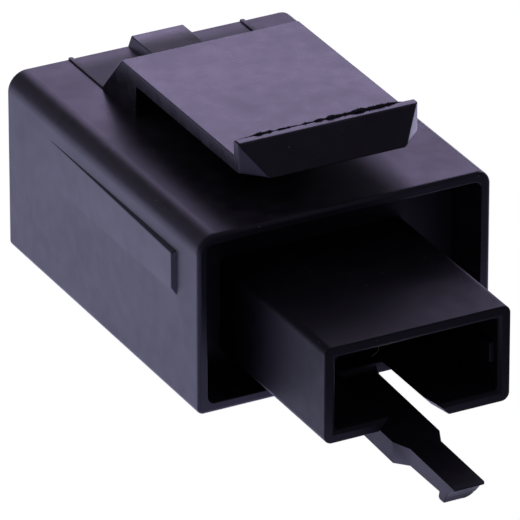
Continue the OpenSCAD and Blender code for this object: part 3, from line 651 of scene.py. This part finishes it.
# %% [markdown]
# ## Wire and film that follow a line
#
# A coil, a shred of flash and a fibre are each one section that runs along a line, so Geometry Nodes
# make them: a tree draws the line by a rule, gives it a section, and paints it. The result is kept
# as a plain mesh. The trees have named inputs, so that a coil's turns are a number to change.

# %% Helpers for geometry trees
def new_tree(name, **inputs):
    """A geometry tree; every keyword is an input, with its starting value."""
    kinds = {int: "NodeSocketInt", float: "NodeSocketFloat", Vector: "NodeSocketVector"}
    tree = bpy.data.node_groups.new(name, "GeometryNodeTree")
    for label, value in inputs.items():
        kind = kinds[type(value)]
        socket = tree.interface.new_socket(label, in_out="INPUT", socket_type=kind)
        socket.default_value = value
    tree.interface.new_socket("Geometry", in_out="OUTPUT", socket_type="NodeSocketGeometry")
    return tree, add(tree, "NodeGroupInput").outputs


def close_tree(tree, geometry, material):
    """Ends a tree as the export needs it: real faces with a material."""
    real = add(tree, "GeometryNodeRealizeInstances")
    painted = add(tree, "GeometryNodeSetMaterial", Material=material)
    join(tree, geometry, real.inputs[0])
    join(tree, real.outputs[0], painted.inputs["Geometry"])
    join(tree, painted.outputs[0], add(tree, "NodeGroupOutput").inputs[0])


def round_section(tree, wire, sides):
    """A ring as wide as the wire is thick; sides is a number or a socket."""
    ring = add(tree, "GeometryNodeCurvePrimitiveCircle")
    if isinstance(sides, int):
        ring.inputs["Resolution"].default_value = sides
    else:
        join(tree, sides, ring.inputs["Resolution"])
    join(tree, reckon(tree, "MULTIPLY", wire, 0.5), ring.inputs["Radius"])
    return ring.outputs[0]


def tube_along(tree, curve, section, size=None):
    """The section swept along the curve; size scales it from place to place."""
    tube = add(tree, "GeometryNodeCurveToMesh", **{"Fill Caps": True})
    if size is not None:
        join(tree, size, tube.inputs["Scale"])
    join(tree, curve, tube.inputs["Curve"])
    join(tree, section, tube.inputs["Profile Curve"])
    return tube.outputs[0]


def grow(name, tree, **values):
    """Runs a tree once and keeps what it makes as a plain mesh."""
    piece = bpy.data.objects.new(name, bpy.data.meshes.new(name))
    bpy.context.collection.objects.link(piece)
    modifier = piece.modifiers.new("grow", "NODES")
    modifier.node_group = tree
    for item in tree.interface.items_tree:
        if item.in_out == "INPUT" and item.name in values:
            modifier[item.identifier] = values[item.name]
    made = piece.evaluated_get(bpy.context.evaluated_depsgraph_get())
    mesh = bpy.data.meshes.new_from_object(made)
    piece.modifiers.remove(modifier)
    piece.data = mesh
    print(name, "has", len(mesh.polygons), "faces")
    return piece

# %% [markdown]
# ## The winding
#
# The coil is some two thousand turns of enamelled wire, and only the outer layer shows, past the
# tape's edge. All the turns would be hundreds of thousands of faces that nobody sees. So the
# winding's body is made a little thinner and one layer of real turns goes round it. What reaches
# farther out than the body, the far part of each lead-out, moves in by the same 0.12 mm.

# %% Wound wire
def coil_tree(name, material):
    """Round wire wound as a screw line along Y, from start; its radius is that of the wire's middle."""
    tree, given = new_tree(name, start=Vector((0, 0, 0)), radius=0.005, length=0.01, turns=10.0,
                           wire=0.0002, steps=24, sides=8)
    spiral = add(tree, "GeometryNodeCurveSpiral")
    for label, socket in (("steps", "Resolution"), ("turns", "Rotations"), ("radius", "Start Radius"),
                          ("radius", "End Radius"), ("length", "Height")):
        join(tree, given[label], spiral.inputs[socket])
    turned = add(tree, "GeometryNodeTransform", Rotation=(-math.pi / 2, 0, 0))
    join(tree, spiral.outputs[0], turned.inputs["Geometry"])
    join(tree, given["start"], turned.inputs["Translation"])
    section = round_section(tree, given["wire"], given["sides"])
    close_tree(tree, tube_along(tree, turned.outputs[0], section), material)
    return tree

# %% Winding
wire = 0.2 * MM
thinner = 0.6 * wire
former_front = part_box("bobbin")[0].y
winding_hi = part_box("coil_winding")[1]
core_lo, core_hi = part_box("core")
coil_x = (core_lo.x + core_hi.x) / 2
coil_z = (core_lo.z + core_hi.z) / 2
winding_r = winding_hi.z - coil_z
front_y = former_front + 1.1 * MM
layer_l = winding_hi.y - front_y - wire

turns = grow("turns", coil_tree("wound_layer", finishes["copper_wire"]),
             start=(coil_x, front_y + wire / 2, coil_z), radius=winding_r - wire / 2,
             length=layer_l, turns=layer_l / wire, wire=wire, steps=40, sides=6)
bm = merged_copy("coil_winding")
for v in bm.verts:
    out = Vector((v.co.x - coil_x, 0, v.co.z - coil_z))
    if out.length > winding_r - 0.02 * MM:
        v.co -= out.normalized() * thinner
bm.from_mesh(turns.data)
bpy.data.objects.remove(turns)
winding = finish_piece("winding", bm, finishes["copper_wire"], "copper_wire", "housing", "coil_winding")
shade(winding)

# %% [markdown]
# ## Flash
#
# Where the two halves of the mould met, a torn film of plastic stands along the top of the clip's
# lip. It could be cut out by hand as a jagged strip. It is quicker as a straight line with a flat
# section, whose size follows noise with a fixed seed and drops to almost nothing at both ends.

# %% Torn film
def film_tree(material):
    tree, given = new_tree("torn_film", start=Vector((0, 0, 0)), end=Vector((0.02, 0, 0)),
                           height=0.001, thickness=0.0001, steps=200, roughness=400.0, seed=1.0)
    line = add(tree, "GeometryNodeCurvePrimitiveLine")
    join(tree, given["start"], line.inputs["Start"])
    join(tree, given["end"], line.inputs["End"])
    points = add(tree, "GeometryNodeResampleCurve")
    join(tree, line.outputs[0], points.inputs["Curve"])
    join(tree, given["steps"], points.inputs["Count"])
    torn = add(tree, "ShaderNodeTexNoise", noise_dimensions="4D", Detail=6.0)
    join(tree, given["roughness"], torn.inputs["Scale"])
    join(tree, given["seed"], torn.inputs["W"])
    ragged = spread(tree, torn.outputs[0], 0.16, 1.0, 0.40, 0.60)
    share = add(tree, "GeometryNodeSplineParameter").outputs["Factor"]
    from_end = reckon(tree, "MINIMUM", share, reckon(tree, "SUBTRACT", 1.0, share))
    size = reckon(tree, "MULTIPLY", ragged, spread(tree, from_end, 0.05, 1.0, 0.0, 0.12))
    section = add(tree, "GeometryNodeCurvePrimitiveQuadrilateral")
    join(tree, given["thickness"], section.inputs["Width"])
    join(tree, given["height"], section.inputs["Height"])
    close_tree(tree, tube_along(tree, points.outputs[0], section.outputs[0], size), material)
    return tree

film_y = lip_back - 0.06 * MM
film_z = clip_top - 0.08 * MM
lip_flash = grow("lip_flash", film_tree(case_black), start=(-9.5 * MM, film_y, film_z),
                 end=(9.9 * MM, film_y, film_z), height=0.8 * MM, thickness=0.2 * MM,
                 steps=300, roughness=420.0, seed=3.0)
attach(lip_flash, "housing")

# %% [markdown]
# ## A fibre
#
# A stray fibre of cotton hangs from the ceiling of the connector's mouth. Particle hair would not
# survive the export, so it is one curve with a round section.

# %% Fibre
def fibre_tree(material):
    """A thin hair: one curve from start to end, bowed towards two handles."""
    tree, given = new_tree("fibre", start=Vector((0, 0, 0)), first=Vector((0, 0, 0.001)),
                           second=Vector((0.001, 0, 0.001)), end=Vector((0.001, 0, 0)), wire=0.00005)
    hair = add(tree, "GeometryNodeCurvePrimitiveBezierSegment", Resolution=24)
    for label, socket in (("start", "Start"), ("first", "Start Handle"), ("second", "End Handle"),
                          ("end", "End")):
        join(tree, given[label], hair.inputs[socket])
    section = round_section(tree, given["wire"], 5)
    close_tree(tree, tube_along(tree, hair.outputs[0], section), material)
    return tree

cotton = finish("cotton_fibre", (0.10, 0.08, 0.04), (0.20, 0.17, 0.09), (0.6, 0.8), 3000, metallic=0.0)
fibre_y = shroud_mouth + 0.5 * MM
fibre = grow("fibre", fibre_tree(cotton), wire=0.05 * MM,
             start=(-4.9 * MM, fibre_y, socket_ceiling),
             first=(-4.7 * MM, fibre_y, socket_ceiling - 0.65 * MM),
             second=(-5.5 * MM, fibre_y, socket_ceiling - 0.85 * MM),
             end=(-5.7 * MM, fibre_y, socket_ceiling - 0.95 * MM))
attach(fibre, "housing")
